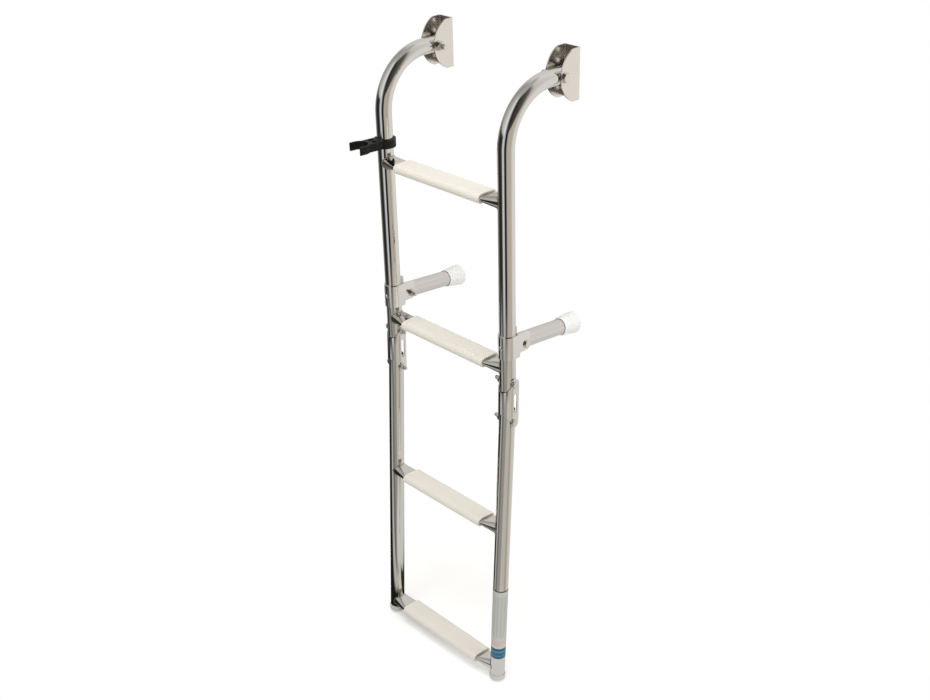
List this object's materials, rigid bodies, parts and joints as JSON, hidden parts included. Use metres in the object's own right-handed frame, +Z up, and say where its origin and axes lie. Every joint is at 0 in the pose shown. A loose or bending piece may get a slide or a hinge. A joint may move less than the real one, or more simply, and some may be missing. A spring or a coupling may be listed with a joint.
{
  "type": "folding boat boarding ladder",
  "caption": "Folding boarding ladder of bent stainless tube with hull brackets, padded steps, swing-out stand-off arms and a stowage clip.",
  "frame": {"origin": "centre of the right bracket's flat back face, where it is screwed to the hull", "axes": "+Z up, +Y out of the bracket's back face into the hull, +X to the climber's right"},
  "size_m": [0.3046, 0.207, 1.0679],
  "materials": {
    "stile_tube": "polished stainless steel tube",
    "rung_tube": "polished stainless steel tube, pressed flat",
    "bracket_sheet": "tumbled stainless sheet",
    "strap_sheet": "polished stainless sheet",
    "hinge_sheet": "polished stainless sheet",
    "arm_tube": "satin stainless steel tube",
    "fastener_steel": "stainless bolts and nuts",
    "tread_plastic": "extruded cream plastic",
    "cap_plastic": "white moulded rubber-like plastic",
    "foot_plastic": "pale grey moulded plastic",
    "clip_plastic": "black moulded nylon"
  },
  "bodies": {
    "brackets": {"right_bracket": "bracket_sheet", "left_bracket": "bracket_sheet", "right_bracket_bolt": "fastener_steel", "left_bracket_bolt": "fastener_steel", "right_bracket_nut": "fastener_steel", "left_bracket_nut": "fastener_steel"},
    "upper_section": {"right_upper_stile": "stile_tube", "left_upper_stile": "stile_tube", "top_rung": "rung_tube", "second_rung": "rung_tube", "top_tread_pad": "tread_plastic", "second_tread_pad": "tread_plastic", "right_strap": "strap_sheet", "left_strap": "strap_sheet", "right_strap_screw": "fastener_steel", "left_strap_screw": "fastener_steel", "right_standoff_bolt": "fastener_steel", "left_standoff_bolt": "fastener_steel", "right_standoff_nut": "fastener_steel", "left_standoff_nut": "fastener_steel"},
    "clip": {"stowage_clip": "clip_plastic"},
    "right_standoff": {"right_standoff_arm": "arm_tube", "right_standoff_cap": "cap_plastic"},
    "left_standoff": {"left_standoff_arm": "arm_tube", "left_standoff_cap": "cap_plastic"},
    "hinge_links": {"right_hinge_saddle": "hinge_sheet", "left_hinge_saddle": "hinge_sheet", "right_upper_hinge_bolt": "fastener_steel", "right_upper_hinge_nut": "fastener_steel", "right_lower_hinge_bolt": "fastener_steel", "right_lower_hinge_nut": "fastener_steel", "left_upper_hinge_bolt": "fastener_steel", "left_upper_hinge_nut": "fastener_steel", "left_lower_hinge_bolt": "fastener_steel", "left_lower_hinge_nut": "fastener_steel"},
    "lower_section": {"right_lower_stile": "stile_tube", "left_lower_stile": "stile_tube", "third_rung": "rung_tube", "bottom_rung": "rung_tube", "third_tread_pad": "tread_plastic", "bottom_tread_pad": "tread_plastic", "right_foot_cap": "foot_plastic", "left_foot_cap": "foot_plastic"}
  },
  "joints": [
    {"name": "bracket_swing", "type": "hinge", "parent": "brackets", "child": "upper_section", "pos_m": [-0.131, -0.031, 0], "axis": [-1, 0, 0], "range_deg": [0, 100]},
    {"name": "upper_hinge_fold", "type": "hinge", "parent": "upper_section", "child": "hinge_links", "pos_m": [-0.131, -0.137, -0.4555], "axis": [-1, 0, 0], "range_deg": [0, 90.1]},
    {"name": "lower_hinge_fold", "type": "hinge", "parent": "hinge_links", "child": "lower_section", "pos_m": [-0.131, -0.13894, -0.52197], "axis": [-1, 0, 0], "range_deg": [0, 90.1]},
    {"name": "right_standoff_fold", "type": "hinge", "parent": "upper_section", "child": "right_standoff", "pos_m": [0, -0.1104, -0.394], "axis": [1, 0, 0], "range_deg": [0, 91]},
    {"name": "left_standoff_fold", "type": "hinge", "parent": "upper_section", "child": "left_standoff", "pos_m": [-0.262, -0.1104, -0.394], "axis": [1, 0, 0], "range_deg": [0, 91]},
    {"name": "clip_turn", "type": "hinge", "parent": "upper_section", "child": "clip", "pos_m": [-0.262, -0.137, -0.131], "axis": [0, 0, 1], "range_deg": [0, 8]}
  ]
}
